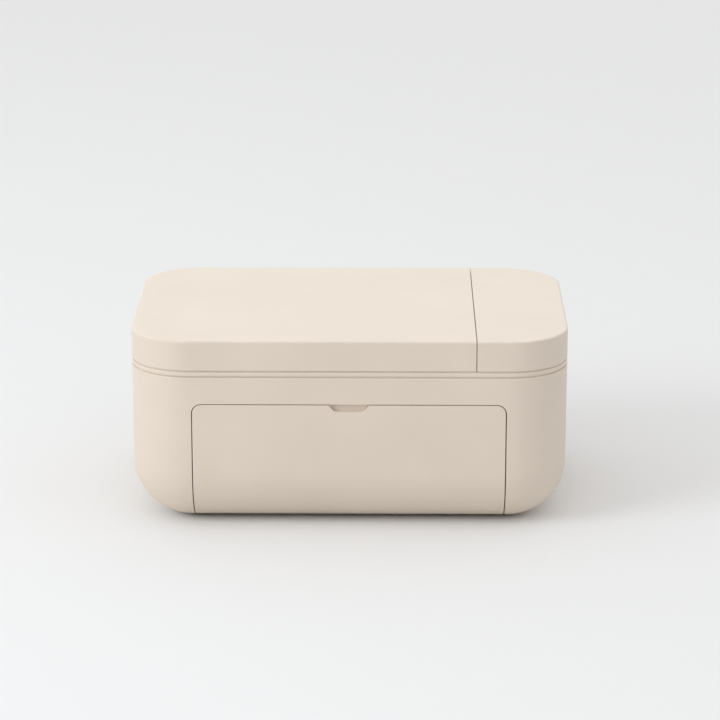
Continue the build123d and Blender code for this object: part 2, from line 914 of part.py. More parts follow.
# Lid hinges: brackets on the deck, each with the middle knuckle, and their pins
with BuildPart() as lid_hinge_brackets:
    leaf_front = lid_hinge_y - lid_knuckle_radius - hinge_leaf_thickness + seat_gap
    for hinge_x in lid_hinge_places_x:
        left = hinge_x - body_knuckle_length / 2
        right = hinge_x + body_knuckle_length / 2
        block(
            (left, leaf_front, deck_top),
            (right, leaf_front + hinge_leaf_thickness, lid_hinge_z),
        )
        block(
            (left, leaf_front - hinge_foot_reach, deck_top),
            (right, leaf_front + hinge_leaf_thickness, deck_top + hinge_leaf_thickness),
        )
        rods([(lid_hinge_y, lid_hinge_z)], left, right, lid_knuckle_radius)
        rods(
            [(lid_hinge_y, lid_hinge_z)],
            left,
            right,
            lid_pin_radius + snug_fit,
            Mode.SUBTRACT,
        )
save(lid_hinge_brackets, "lid_hinge_brackets")

with BuildPart() as lid_hinge_pins:
    pin_half = lid_knuckle_start + lid_knuckle_length
    for hinge_x in lid_hinge_places_x:
        rods([(lid_hinge_y, lid_hinge_z)], hinge_x - pin_half, hinge_x + pin_half, lid_pin_radius)
save(lid_hinge_pins, "lid_hinge_pins")

# Front door: a curved panel with a finger notch, ribs and two hinge lugs
with BuildPart() as front_door:
    add(case_solid)
    add(case_block(door_wall, shell_bottom + door_wall, overall_height), mode=Mode.SUBTRACT)
    add(door_volume(0), mode=Mode.INTERSECT)
    front_edges = front_door.faces().sort_by(Axis.Y)[0].edges()
    fillet(front_edges.sort_by(Axis.Z)[1:], seam_round)
    inner_face = -half_depth + door_wall
    block(
        (-door_half + door_corner_radius, inner_face, door_top - door_top_rib_height),
        (door_half - door_corner_radius, inner_face + door_top_rib_depth, door_top),
    )
    for rib_x in door_rib_places_x:
        block(
            (rib_x - door_rib_thickness / 2, inner_face, round_centre_z),
            (rib_x + door_rib_thickness / 2, inner_face + door_rib_height, door_top),
        )
    for side in (-1, 1):
        lug_ends = sorted((side * (door_half - door_lug_length), side * door_half))
        bore_ends = sorted((side * (door_half - door_pin_depth), side * door_half))
        rods([(door_hinge_y, door_hinge_z)], *lug_ends, door_lug_radius)
        rods(
            [(door_hinge_y, door_hinge_z)],
            *bore_ends,
            door_pin_radius + running_fit,
            Mode.SUBTRACT,
        )
    with BuildSketch(Plane.XZ.offset(half_depth)) as notch:
        with BuildLine():
            Polyline(
                (-notch_top_width / 2, door_top),
                (-notch_bottom_width / 2, door_top - notch_height),
                (notch_bottom_width / 2, door_top - notch_height),
                (notch_top_width / 2, door_top),
                close=True,
            )
        make_face()
        fillet(notch.vertices().group_by(Axis.Y)[0], notch_corner)
    extrude(amount=-notch_depth, mode=Mode.SUBTRACT)
save(front_door, "front_door")

# Pocket behind the door, closed at the back by a plate with two paper slots
with BuildPart() as front_bay:
    block(
        (-pocket_half - pocket_wall, -half_depth, floor_top),
        (pocket_half + pocket_wall, fascia_back, pocket_ceiling + pocket_wall),
    )
    block(
        (-pocket_half, -half_depth, floor_top),
        (pocket_half, fascia_front, pocket_ceiling),
        Mode.SUBTRACT,
    )
    block(
        (-cassette_half, fascia_front, base_top),
        (cassette_half, fascia_back, cassette_top + frame_thickness),
        Mode.SUBTRACT,
    )
    block(
        (-outlet_half, fascia_front, outlet_bottom),
        (outlet_half, fascia_back, outlet_top),
        Mode.SUBTRACT,
    )
    add(inner_room, mode=Mode.INTERSECT)
    for side in (-1, 1):
        wall_ends = sorted((side * pocket_half, side * (pocket_half + pocket_wall)))
        rods(
            [(door_hinge_y, door_hinge_z)],
            *wall_ends,
            door_pin_radius + snug_fit,
            Mode.SUBTRACT,
        )
save(front_bay, "front_bay")

with BuildPart() as door_hinge_pins:
    for side in (-1, 1):
        pin_ends = sorted(
            (
                side * (door_half - door_pin_depth + piece_gap),
                side * (pocket_half + pocket_wall),
            )
        )
        rods([(door_hinge_y, door_hinge_z)], *pin_ends, door_pin_radius)
save(door_hinge_pins, "door_hinge_pins")

# Magnets in the pocket and on the deck, with steel strikers on door and lid
striker_front = -half_depth + door_wall + door_top_rib_depth
with BuildPart() as door_strikers:
    for magnet_x in door_magnet_places_x:
        block(
            (magnet_x - magnet_width / 2, striker_front, door_top - striker_height),
            (magnet_x + magnet_width / 2, striker_front + striker_thickness, door_top - piece_gap),
        )
save(door_strikers, "door_strikers")

with BuildPart() as lid_strikers:
    for magnet_x in lid_magnet_places_x:
        striker_bottom = deck_top + lid_magnet_height + striker_gap
        block(
            (
                magnet_x - magnet_width / 2,
                -half_depth + lid_magnet_from_front - magnet_drop / 2,
                striker_bottom,
            ),
            (
                magnet_x + magnet_width / 2,
                -half_depth + lid_magnet_from_front + magnet_drop / 2,
                striker_bottom + striker_thickness,
            ),
        )
save(lid_strikers, "lid_strikers")

with BuildPart() as latch_magnets:
    magnet_front = striker_front + striker_thickness + striker_gap
    for magnet_x in door_magnet_places_x:
        block(
            (magnet_x - magnet_width / 2, magnet_front, pocket_ceiling - magnet_drop),
            (magnet_x + magnet_width / 2, magnet_front + magnet_depth, pocket_ceiling),
        )
    for magnet_x in lid_magnet_places_x:
        block(
            (
                magnet_x - magnet_width / 2,
                -half_depth + lid_magnet_from_front - magnet_drop / 2,
                deck_top,
            ),
            (
                magnet_x + magnet_width / 2,
                -half_depth + lid_magnet_from_front + magnet_drop / 2,
                deck_top + lid_magnet_height,
            ),
        )
save(latch_magnets, "latch_magnets")

# Rubber feet
with BuildPart() as rubber_feet:
    posts(foot_places, 0, foot_height + foot_recess, foot_radius)
    fillet(rubber_feet.edges().group_by(Axis.Z)[0], edge_round)
save(rubber_feet, "rubber_feet")

# Power button and its light
button_outer = half_width - button_recess
button_flange_outer = half_width - wall - piece_gap
switch_outer = main_board_x + board_thickness + switch_thickness
with BuildPart() as power_button:
    rods([(button_y, button_z)], button_flange_outer, button_outer, button_radius)
    rods(
        [(button_y, button_z)],
        button_flange_outer - button_flange_thickness,
        button_flange_outer,
        button_radius + button_flange,
    )
    rods(
        [(button_y, button_z)],
        switch_outer + button_travel + running_fit,
        button_flange_outer,
        button_stem_radius,
    )
    fillet(power_button.edges().group_by(Axis.X)[-1], edge_round)
save(power_button, "power_button")

with BuildPart() as power_light:
    rods([(button_y, light_z)], half_width - wall, half_width, light_radius)
save(power_light, "power_light")

# Screws of the deck, the floor plate and the side cap
with BuildPart() as case_screws:
    deck_shank_bottom = deck_top - screw_length
    posts(column_places, deck_shank_bottom, deck_top, screw_radius)
    posts(column_places, deck_top, deck_top + screw_head_height, screw_head_radius)
    posts(base_screw_places, shell_bottom + wall / 2, base_top, screw_radius)
    flange_top = base_top + frame_thickness
    posts(base_screw_places, base_top, flange_top + screw_head_height, screw_radius)
    posts(
        base_screw_places,
        flange_top,
        flange_top + screw_head_height,
        screw_head_radius,
    )
    posts(cap_post_places, deck_bottom, deck_top + screw_length, screw_radius)
    posts(cap_post_places, deck_bottom - screw_head_height, deck_bottom, screw_head_radius)
save(case_screws, "case_screws")

# Floor plate
with BuildPart() as chassis_base:
    block((-frame_outer, frame_front, base_bottom), (frame_outer, base_back, base_top))
    for screw_x, screw_y in base_screw_places:
        block(
            (screw_x - base_tab_half, screw_y - base_tab_half, base_bottom),
            (screw_x + base_tab_half, screw_y + base_tab_half, base_top),
        )
    add(inner_room, mode=Mode.INTERSECT)
    posts(base_screw_places, base_bottom, base_top, screw_radius + snug_fit, Mode.SUBTRACT)
save(chassis_base, "chassis_base")


def side_frame(side):
    """Side frame, with feet bent out for its screws and tabs that carry the cartridge."""
    frame_ends = sorted((side * frame_inner, side * frame_outer))
    flange_ends = sorted((side * frame_inner, side * (frame_outer + base_flange_reach)))
    tab_ends = sorted((side * (cartridge_inner + piece_gap), side * frame_inner))
    with BuildPart() as frame:
        block(
            (frame_ends[0], frame_front, base_top),
            (frame_ends[1], frame_back, frame_top),
        )
        for screw_y in (frame_front + base_screw_from_front, base_rear_screw_y):
            block(
                (flange_ends[0], screw_y - base_tab_half, base_top),
                (flange_ends[1], screw_y + base_tab_half, base_top + frame_thickness),
            )
        add(inner_room, mode=Mode.INTERSECT)
        for tab_front, tab_back in support_tab_places_y:
            block(
                (tab_ends[0], tab_front, cartridge_bottom - support_tab_thickness),
                (tab_ends[1], tab_back, cartridge_bottom),
            )
        posts(
            base_screw_places,
            base_top,
            base_top + frame_thickness,
            screw_radius + snug_fit,
            Mode.SUBTRACT,
        )
        rods(
            [platen_centre, feed_centre, pickup_centre],
            *frame_ends,
            bush_radius + snug_fit,
            Mode.SUBTRACT,
        )
        rods([pinch_centre], *frame_ends, pinch_shaft_radius + running_fit, Mode.SUBTRACT)
        if side > 0:
            rods(
                [takeup_centre],
                *frame_ends,
                spool_journal_radius + running_fit,
                Mode.SUBTRACT,
            )
            rods(
                [compound_centre, pickup_idler_centre],
                *frame_ends,
                gear_pin_radius + snug_fit,
                Mode.SUBTRACT,
            )
            rods(standoff_centres, *frame_ends, standoff_radius + snug_fit, Mode.SUBTRACT)
    return frame


left_side_frame = side_frame(-1)
save(left_side_frame, "left_side_frame")
right_side_frame = side_frame(1)
save(right_side_frame, "right_side_frame")

# Gear plate, its standoffs and the pins of the gears
with BuildPart() as gear_plate:
    block(
        (gear_plate_inner, gear_plate_front, gear_plate_bottom),
        (gear_plate_outer, gear_plate_back, gear_plate_top),
    )
    fillet(gear_plate.edges().filter_by(Axis.X), gear_plate_corner)
    add(inner_room, mode=Mode.INTERSECT)
    rods(
        [compound_centre, pickup_idler_centre],
        gear_plate_inner,
        gear_plate_outer,
        gear_pin_radius + snug_fit,
        Mode.SUBTRACT,
    )
    rods(
        standoff_centres,
        gear_plate_inner,
        gear_plate_outer,
        standoff_radius + snug_fit,
        Mode.SUBTRACT,
    )
    rods(
        [feed_motor_centre, ribbon_motor_centre],
        gear_plate_inner,
        gear_plate_outer,
        motor_boss_radius + snug_fit,
        Mode.SUBTRACT,
    )
save(gear_plate, "gear_plate")

with BuildPart() as gear_posts:
    rods(standoff_centres, frame_inner, gear_plate_outer - seat_gap, standoff_radius)
    rods(
        [compound_centre, pickup_idler_centre],
        frame_inner,
        gear_plate_outer,
        gear_pin_radius,
    )
save(gear_posts, "gear_posts")

# Beams between the side frames
with BuildPart() as cross_beams:
    block(
        (-frame_inner, cassette_back + piece_gap, base_top),
        (frame_inner, cassette_back + piece_gap + beam_thickness, cassette_top),
    )
    block(
        (-frame_inner, cartridge_back + piece_gap, upper_beam_bottom),
        (frame_inner, cartridge_back + piece_gap + beam_thickness, frame_top),
    )
    add(inner_room, mode=Mode.INTERSECT)
save(cross_beams, "cross_beams")

# Rails beside the paper cassette
with BuildPart() as cassette_rails:
    for side in (-1, 1):
        rail_ends = sorted((side * cassette_half, side * frame_inner))
        block(
            (rail_ends[0], frame_front, base_top),
            (rail_ends[1], cassette_back, cassette_top),
        )
    add(inner_room, mode=Mode.INTERSECT)
save(cassette_rails, "cassette_rails")

# Guide plates in front of the platen and behind the feed roller
with BuildPart() as exit_guide:
    block(
        (-frame_inner, frame_front, guide_bottom),
        (frame_inner, exit_guide_back, guide_top),
    )
    fillet(exit_guide.edges().filter_by(Axis.X).group_by(Axis.Y)[-1], edge_round)
save(exit_guide, "exit_guide")

with BuildPart() as rear_guide:
    block(
        (-frame_inner, rear_guide_front, guide_bottom),
        (frame_inner, frame_back, guide_top),
    )
    block(
        (-guide_half, frame_back, guide_bottom),
        (guide_half, half_depth - wall - seat_gap, guide_top),
    )
    fillet(rear_guide.edges().filter_by(Axis.X).group_by(Axis.Y)[0], edge_round)
save(rear_guide, "rear_guide")

# Rollers and their bushes
shaft_left = -frame_outer - shaft_end_gap
first_row_end = first_row + first_row_width
with BuildPart() as feed_roller:
    rods([feed_centre], -feed_half, feed_half, feed_radius)
    rods([feed_centre], shaft_left, first_row_end, shaft_radius)
save(feed_roller, "feed_roller")

with BuildPart() as pinch_roller:
    rods([pinch_centre], -pinch_half, pinch_half, pinch_radius)
    rods([pinch_centre], -frame_outer, frame_outer, pinch_shaft_radius)
save(pinch_roller, "pinch_roller")

with BuildPart() as platen_shaft:
    rods([platen_centre], shaft_left, first_row_end, shaft_radius)
save(platen_shaft, "platen_shaft")

with BuildPart() as platen_rubber:
    rods([platen_centre], -platen_half, platen_half, platen_radius)
    rods([platen_centre], -platen_half, platen_half, shaft_radius, Mode.SUBTRACT)
    fillet(platen_rubber.edges().group_by(Axis.X)[-1].sort_by(SortBy.RADIUS)[-1], edge_round)
    fillet(platen_rubber.edges().group_by(Axis.X)[0].sort_by(SortBy.RADIUS)[-1], edge_round)
save(platen_rubber, "platen_rubber")

with BuildPart() as pickup_shaft:
    rods([pickup_centre], shaft_left, third_row + third_row_width, shaft_radius)
save(pickup_shaft, "pickup_shaft")

with BuildPart() as pickup_tyres:
    for tyre_x in pickup_tyre_places_x:
        tyre_left = tyre_x - pickup_tyre_width / 2
        tyre_right = tyre_x + pickup_tyre_width / 2
        rods([pickup_centre], tyre_left, tyre_right, pickup_radius)
        rods([pickup_centre], tyre_left, tyre_right, shaft_radius, Mode.SUBTRACT)
save(pickup_tyres, "pickup_tyres")

with BuildPart() as roller_bushes:
    bush_centres = [platen_centre, feed_centre, pickup_centre]
    for side in (-1, 1):
        barrel_ends = sorted((side * frame_inner, side * frame_outer))
        flange_ends = sorted((side * (frame_inner - bush_flange), side * frame_inner))
        bore_ends = sorted((side * (frame_inner - bush_flange), side * frame_outer))
        rods(bush_centres, *barrel_ends, bush_radius)
        rods(bush_centres, *flange_ends, bush_flange_radius)
        rods(bush_centres, *bore_ends, shaft_radius + running_fit, Mode.SUBTRACT)
save(roller_bushes, "roller_bushes")

# Gears of the feed train
with BuildPart() as feed_gear:
    gear_row(feed_teeth, feed_centre, feed_phase, first_row, first_row_width)
    rods([feed_centre], first_row, first_row_end, shaft_radius, Mode.SUBTRACT)
save(feed_gear, "feed_gear")

with BuildPart() as platen_gear:
    gear_row(platen_teeth, platen_centre, platen_phase, first_row, first_row_width)
    rods([platen_centre], first_row, first_row_end, shaft_radius, Mode.SUBTRACT)
save(platen_gear, "platen_gear")

with BuildPart() as compound_gear:
    gear_row(compound_small_teeth, compound_centre, 0, first_row, first_row_width)
    gear_row(compound_big_teeth, compound_centre, 0, second_row, second_row_width)
    gear_row(compound_small_teeth, compound_centre, 0, third_row, third_row_width)
    hub_radius = gear_module * compound_small_teeth / 2 - dedendum
    rods([compound_centre], first_row, third_row + third_row_width, hub_radius)
    rods(
        [compound_centre],
        first_row,
        third_row + third_row_width,
        gear_pin_radius + running_fit,
        Mode.SUBTRACT,
    )
save(compound_gear, "compound_gear")

with BuildPart() as pickup_idler:
    gear_row(
        pickup_idler_teeth, pickup_idler_centre, pickup_idler_phase, third_row, third_row_width
    )
    rods(
        [pickup_idler_centre],
        third_row,
        third_row + third_row_width,
        gear_pin_radius + running_fit,
        Mode.SUBTRACT,
    )
save(pickup_idler, "pickup_idler")

with BuildPart() as pickup_gear:
    gear_row(pickup_teeth, pickup_centre, pickup_phase, third_row, third_row_width)
    rods(
        [pickup_centre],
        third_row,
        third_row + third_row_width,
        shaft_radius,
        Mode.SUBTRACT,
    )
save(pickup_gear, "pickup_gear")

# Motors and their pinions
with BuildPart() as feed_motor:
    rods(
        [feed_motor_centre],
        gear_plate_outer,
        gear_plate_outer + feed_motor_length,
        feed_motor_radius,
    )
    rods([feed_motor_centre], gear_plate_inner, gear_plate_outer, motor_boss_radius)
    fillet(feed_motor.edges().group_by(Axis.X)[-1], edge_round)
    rods(
        [feed_motor_centre],
        gear_plate_inner,
        gear_plate_outer + motor_shaft_depth,
        motor_shaft_radius + running_fit,
        Mode.SUBTRACT,
    )
save(feed_motor, "feed_motor")

with BuildPart() as feed_pinion:
    gear_row(pinion_teeth, feed_motor_centre, pinion_phase, second_row, second_row_width)
    rods(
        [feed_motor_centre],
        second_row,
        gear_plate_outer + motor_shaft_depth - piece_gap,
        motor_shaft_radius,
    )
save(feed_pinion, "feed_pinion")

with BuildPart() as ribbon_motor:
    rods(
        [ribbon_motor_centre],
        gear_plate_outer,
        gear_plate_outer + ribbon_motor_length,
        ribbon_motor_radius,
    )
    rods([ribbon_motor_centre], gear_plate_inner, gear_plate_outer, motor_boss_radius)
    fillet(ribbon_motor.edges().group_by(Axis.X)[-1], edge_round)
    rods(
        [ribbon_motor_centre],
        gear_plate_inner,
        gear_plate_outer + motor_shaft_depth,
        motor_shaft_radius + running_fit,
        Mode.SUBTRACT,
    )
save(ribbon_motor, "ribbon_motor")

with BuildPart() as ribbon_pinion:
    gear_row(ribbon_pinion_teeth, ribbon_motor_centre, ribbon_phase, first_row, first_row_width)
    rods(
        [ribbon_motor_centre],
        first_row,
        gear_plate_outer + motor_shaft_depth - piece_gap,
        motor_shaft_radius,
    )
save(ribbon_pinion, "ribbon_pinion")

# Take-up drive gear, whose dog turns the take-up spool
with BuildPart() as takeup_gear:
    gear_row(takeup_teeth, takeup_centre, 0, first_row, first_row_width)
    rods(
        [takeup_centre],
        cartridge_outer + seat_gap,
        first_row,
        spool_journal_radius,
    )
    rods(
        [takeup_centre],
        cartridge_outer - takeup_dog_length,
        cartridge_outer + seat_gap,
        spool_bore_radius - running_fit,
    )
save(takeup_gear, "takeup_gear")

# Ribbon cartridge: frame, two spools, two rolls and the film between them
with BuildPart() as cartridge_frame:
    for side in (-1, 1):
        plate_ends = sorted((side * cartridge_inner, side * cartridge_outer))
        with BuildSketch(Plane.YZ.offset(plate_ends[0])):
            with Locations(
                (
                    (cartridge_front + cartridge_back) / 2,
                    (cartridge_bottom + cartridge_top) / 2,
                )
            ):
                RectangleRounded(
                    cartridge_back - cartridge_front,
                    cartridge_top - cartridge_bottom,
                    cartridge_corner,
                )
        extrude(amount=cartridge_wall)
        rods(
            [supply_centre, takeup_centre],
            *plate_ends,
            spool_journal_radius + running_fit,
            Mode.SUBTRACT,
        )
    for rail_front in (cartridge_front, cartridge_back - cartridge_rail):
        block(
            (-cartridge_inner, rail_front, cartridge_bottom + cartridge_rail_margin),
            (cartridge_inner, rail_front + cartridge_rail, cartridge_top - cartridge_rail_margin),
        )
save(cartridge_frame, "cartridge_frame")


def spool(centre):
    """Hollow spool with a journal at each end."""
    tube_half = cartridge_inner - seat_gap
    with BuildPart() as tube:
        rods([centre], -tube_half, tube_half, spool_tube_radius)
        rods([centre], -cartridge_outer, cartridge_outer, spool_journal_radius)
        rods([centre], -cartridge_outer, cartridge_outer, spool_bore_radius, Mode.SUBTRACT)
    return tube


def film_roll(centre, radius):
    """Film wound on a spool."""
    with BuildPart() as roll:
        rods([centre], -film_half, film_half, radius)
        rods([centre], -film_half, film_half, spool_tube_radius, Mode.SUBTRACT)
    return roll


supply_spool = spool(supply_centre)
save(supply_spool, "supply_spool")
takeup_spool = spool(takeup_centre)
save(takeup_spool, "takeup_spool")
supply_roll = film_roll(supply_centre, supply_roll_radius)
save(supply_roll, "supply_roll")
takeup_roll = film_roll(takeup_centre, takeup_roll_radius)
save(takeup_roll, "takeup_roll")


def tangent_point(centre, radius, outside, side):
    """Point where the line from an outside point touches a circle, above or below it."""
    away_y = outside[0] - centre[0]
    away_z = outside[1] - centre[1]
    distance = hypot(away_y, away_z)
    turn = side * acos(radius / distance)
    angle = atan2(away_z, away_y) + turn
    return (centre[0] + radius * cos(angle), centre[1] + radius * sin(angle))


film_level = paper_level + film_clearance
film_front = (platen_y - head_plate_half_depth, film_level)
film_back = (platen_y + head_plate_half_depth + film_peel_reach, film_level)
film_on_supply = supply_roll_radius + film_clearance + film_thickness
film_on_takeup = takeup_roll_radius + film_clearance
film_start = tangent_point(supply_centre, film_on_supply, film_front, -1)
film_end = tangent_point(takeup_centre, film_on_takeup, film_back, -1)
with BuildPart() as ink_film:
    with BuildSketch(Plane.YZ.offset(-film_half)):
        with BuildLine():
            Polyline(
                film_start,
                film_front,
                film_back,
                film_end,
                (film_end[0], film_end[1] + film_thickness),
                (film_back[0], film_back[1] + film_thickness),
                (film_front[0], film_front[1] + film_thickness),
                (film_start[0], film_start[1] + film_thickness),
                close=True,
            )
        make_face()
    extrude(amount=2 * film_half)
save(ink_film, "ink_film")

# Thermal head under the lid: carrier, heat sink, ceramic strip and leaf springs
with BuildPart() as head_carrier:
    block(
        (-carrier_half, platen_y - carrier_half_depth, carrier_bottom),
        (carrier_half, platen_y + carrier_half_depth, roof_under),
    )
    block(
        (-carrier_half, platen_y - carrier_half_depth + carrier_wall, carrier_bottom + carrier_wall),
        (carrier_half, platen_y + carrier_half_depth - carrier_wall, roof_under),
        Mode.SUBTRACT,
    )
    carrier_posts = [(x, platen_y) for x in carrier_post_places_x]
    posts(carrier_posts, heat_sink_top - carrier_post_depth, carrier_bottom, carrier_post_radius)
save(head_carrier, "head_carrier")

with BuildPart() as heat_sink:
    block(
        (-heat_sink_half, platen_y - heat_sink_half_depth, heat_sink_bottom),
        (heat_sink_half, platen_y + heat_sink_half_depth, heat_sink_top),
    )
    slot_bottom = heat_sink_top - heat_sink_slot_depth
    post_left, post_right = carrier_post_places_x
    post_margin = 2 * carrier_post_radius
    slot_spans = (
        (-heat_sink_half, post_left - post_margin),
        (post_left + post_margin, post_right - post_margin),
        (post_right + post_margin, heat_sink_half),
    )
    for slot in range(heat_sink_slot_count):
        slot_middle = platen_y + (slot - (heat_sink_slot_count - 1) / 2) * heat_sink_slot_pitch
        slot_front = slot_middle - heat_sink_slot_width / 2
        slot_back = slot_middle + heat_sink_slot_width / 2
        for slot_left, slot_right in slot_spans:
            block(
                (slot_left, slot_front, slot_bottom),
                (slot_right, slot_back, heat_sink_top),
                Mode.SUBTRACT,
            )
    posts(
        carrier_posts,
        heat_sink_top - carrier_post_depth - carrier_post_spare,
        heat_sink_top,
        carrier_post_radius + running_fit,
        Mode.SUBTRACT,
    )
save(heat_sink, "heat_sink")

with BuildPart() as head_strip:
    block(
        (-head_half, platen_y - head_plate_half_depth, head_plate_bottom),
        (head_half, platen_y + head_plate_half_depth, heat_sink_bottom),
    )
    block(
        (-head_half, platen_y - head_ridge_half, head_ridge_bottom),
        (head_half, platen_y + head_ridge_half, head_plate_bottom),
    )
save(head_strip, "head_strip")

with BuildPart() as head_springs:
    for side in (-1, 1):
        with BuildSketch(Plane.XZ.offset(-platen_y - leaf_half_width)):
            with BuildLine():
                low = heat_sink_top + running_fit
                high = carrier_bottom - running_fit
                middle_x = side * leaf_from_middle_x
                ThreePointArc(
                    (middle_x - leaf_half_length, low),
                    (middle_x, high - leaf_thickness),
                    (middle_x + leaf_half_length, low),
                )
                Line(
                    (middle_x + leaf_half_length, low),
                    (middle_x + leaf_half_length, low + leaf_thickness),
                )
                ThreePointArc(
                    (middle_x + leaf_half_length, low + leaf_thickness),
                    (middle_x, high),
                    (middle_x - leaf_half_length, low + leaf_thickness),
                )
                Line(
                    (middle_x - leaf_half_length, low + leaf_thickness),
                    (middle_x - leaf_half_length, low),
                )
            make_face()
        extrude(amount=2 * leaf_half_width)
save(head_springs, "head_springs")

# Main board on the right, with its chips and the switch behind the button
with BuildPart() as main_board:
    block(
        (main_board_x, main_board_front, main_board_bottom),
        (main_board_x + board_thickness, main_board_back, main_board_top),
    )
save(main_board, "main_board")

# Each chip: its place from the middle of the board, its size and its thickness
chips = (
    ((-3.0, 0.0), (14.0, 14.0), 1.5),
    ((15.0, 4.0), (10.0, 8.0), 1.2),
    ((-22.0, 11.0), (9.0, 12.0), 3.0),
    ((-22.0, -6.5), (6.0, 14.0), 4.0),
    ((22.0, -11.0), (9.0, 12.0), 4.0),
    ((6.0, -15.0), (14.0, 5.0), 3.0),
)
board_middle_y = (main_board_front + main_board_back) / 2
board_middle_z = (main_board_bottom + main_board_top) / 2
capacitor_places = ((-8.0, -15.0), (-15.5, -15.0), (15.0, 14.0))
capacitor_centres = [(board_middle_y + y, board_middle_z + z) for y, z in capacitor_places]
capacitor_radius = 3.0
capacitor_height = 5.0
with BuildPart() as board_chips:
    for (from_middle_y, from_middle_z), (chip_depth, chip_height), thickness in chips:
        chip_y = board_middle_y + from_middle_y
        chip_z = board_middle_z + from_middle_z
        block(
            (main_board_x - thickness, chip_y - chip_depth / 2, chip_z - chip_height / 2),
            (main_board_x, chip_y + chip_depth / 2, chip_z + chip_height / 2),
        )
    rods(capacitor_centres, main_board_x - capacitor_height, main_board_x, capacitor_radius)
    block(
        (main_board_x + board_thickness, button_y - switch_half, button_z - switch_half),
        (switch_outer, button_y + switch_half, button_z + switch_half),
    )
save(board_chips, "board_chips")

# Power board on the left, with the two sockets in the rear wall
with BuildPart() as power_board:
    board_top = power_board_bottom + board_thickness
    block(
        (power_board_left, power_board_front, power_board_bottom),
        (power_board_right, power_board_back, board_top),
    )
    add(inner_room, mode=Mode.INTERSECT)
save(power_board, "power_board")

with BuildPart() as dc_inlet:
    inlet_back = half_depth - wall - seat_gap
    inlet_z = board_top + dc_inlet_height / 2
    block(
        (socket_x - dc_inlet_width / 2, inlet_back - dc_inlet_length, board_top),
        (socket_x + dc_inlet_width / 2, inlet_back, board_top + dc_inlet_height),
    )
    with BuildSketch(Plane.XZ.offset(-inlet_back)):
        with Locations((socket_x, inlet_z)):
            Circle(dc_nose_radius)
    extrude(amount=-(half_depth - inlet_back))
    with BuildSketch(Plane.XZ.offset(-half_depth)):
        with Locations((socket_x, inlet_z)):
            Circle(dc_bore_radius)
            Circle(dc_pin_radius, mode=Mode.SUBTRACT)
    extrude(amount=dc_bore_depth, mode=Mode.SUBTRACT)
save(dc_inlet, "dc_inlet")

with BuildPart() as usb_port:
    usb_z = power_board_bottom - usb_height / 2
    with BuildSketch(Plane.XZ.offset(-half_depth)):
        with Locations((socket_x, usb_z)):
            SlotOverall(usb_width, usb_height)
    extrude(amount=usb_length)
    with BuildSketch(Plane.XZ.offset(-half_depth)):
        with Locations((socket_x, usb_z)):
            SlotOverall(usb_width - 2 * usb_wall, usb_height - 2 * usb_wall)
            Rectangle(usb_tongue_width, usb_tongue_thickness, mode=Mode.SUBTRACT)
    extrude(amount=usb_depth, mode=Mode.SUBTRACT)
save(usb_port, "usb_port")

# Cooling fan against the left wall
fan_right = fan_left + fan_thickness
with BuildPart() as fan_frame:
    block((fan_left, -fan_half, fan_z - fan_half), (fan_right, fan_half, fan_z + fan_half))
    rods([(0, fan_z)], fan_left, fan_right, fan_bore_radius, Mode.SUBTRACT)
    block(
        (fan_right - fan_strut_thickness, -fan_half, fan_z - fan_strut_width / 2),
        (fan_right, fan_half, fan_z + fan_strut_width / 2),
    )
    block(
        (fan_right - fan_strut_thickness, -fan_strut_width / 2, fan_z - fan_half),
        (fan_right, fan_strut_width / 2, fan_z + fan_half),
    )
    rods([(0, fan_z)], fan_right - fan_strut_thickness, fan_right, fan_hub_radius)
    rods(
        [(0, fan_z)],
        fan_right - fan_strut_thickness,
        fan_right,
        fan_axle_radius + running_fit,
        Mode.SUBTRACT,
    )
save(fan_frame, "fan_frame")

with BuildPart() as fan_rotor:
    rotor_left = fan_left + cut_over
    rotor_right = fan_right - fan_strut_thickness - piece_gap
    rotor_half = (rotor_right - rotor_left) / 2
    rotor_middle = (rotor_left + rotor_right) / 2
    for blade in range(fan_blade_count):
        turn = 360 * blade / fan_blade_count
        blade_plane = Plane(origin=(rotor_middle, 0, fan_z), x_dir=(1, 0, 0), z_dir=(0, 0, 1))
        blade_plane = blade_plane.rotated((turn, 0, 0))
        with BuildSketch(blade_plane):
            Rectangle(
                2 * rotor_half / cos(radians(fan_blade_pitch)) - 2 * fan_blade_thickness,
                fan_blade_thickness,
                rotation=fan_blade_pitch,
            )
        extrude(amount=fan_rotor_radius + cut_over)
    rods([(0, fan_z)], rotor_left, rotor_right, fan_hub_radius)
    with BuildSketch(Plane.YZ.offset(rotor_left)) as swept_disc:
        with Locations((0, fan_z)):
            Circle(fan_rotor_radius)
    extrude(swept_disc.sketch, amount=rotor_right - rotor_left, mode=Mode.INTERSECT)
    rods([(0, fan_z)], rotor_right, fan_right, fan_axle_radius)
save(fan_rotor, "fan_rotor")
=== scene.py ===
from math import radians, sqrt

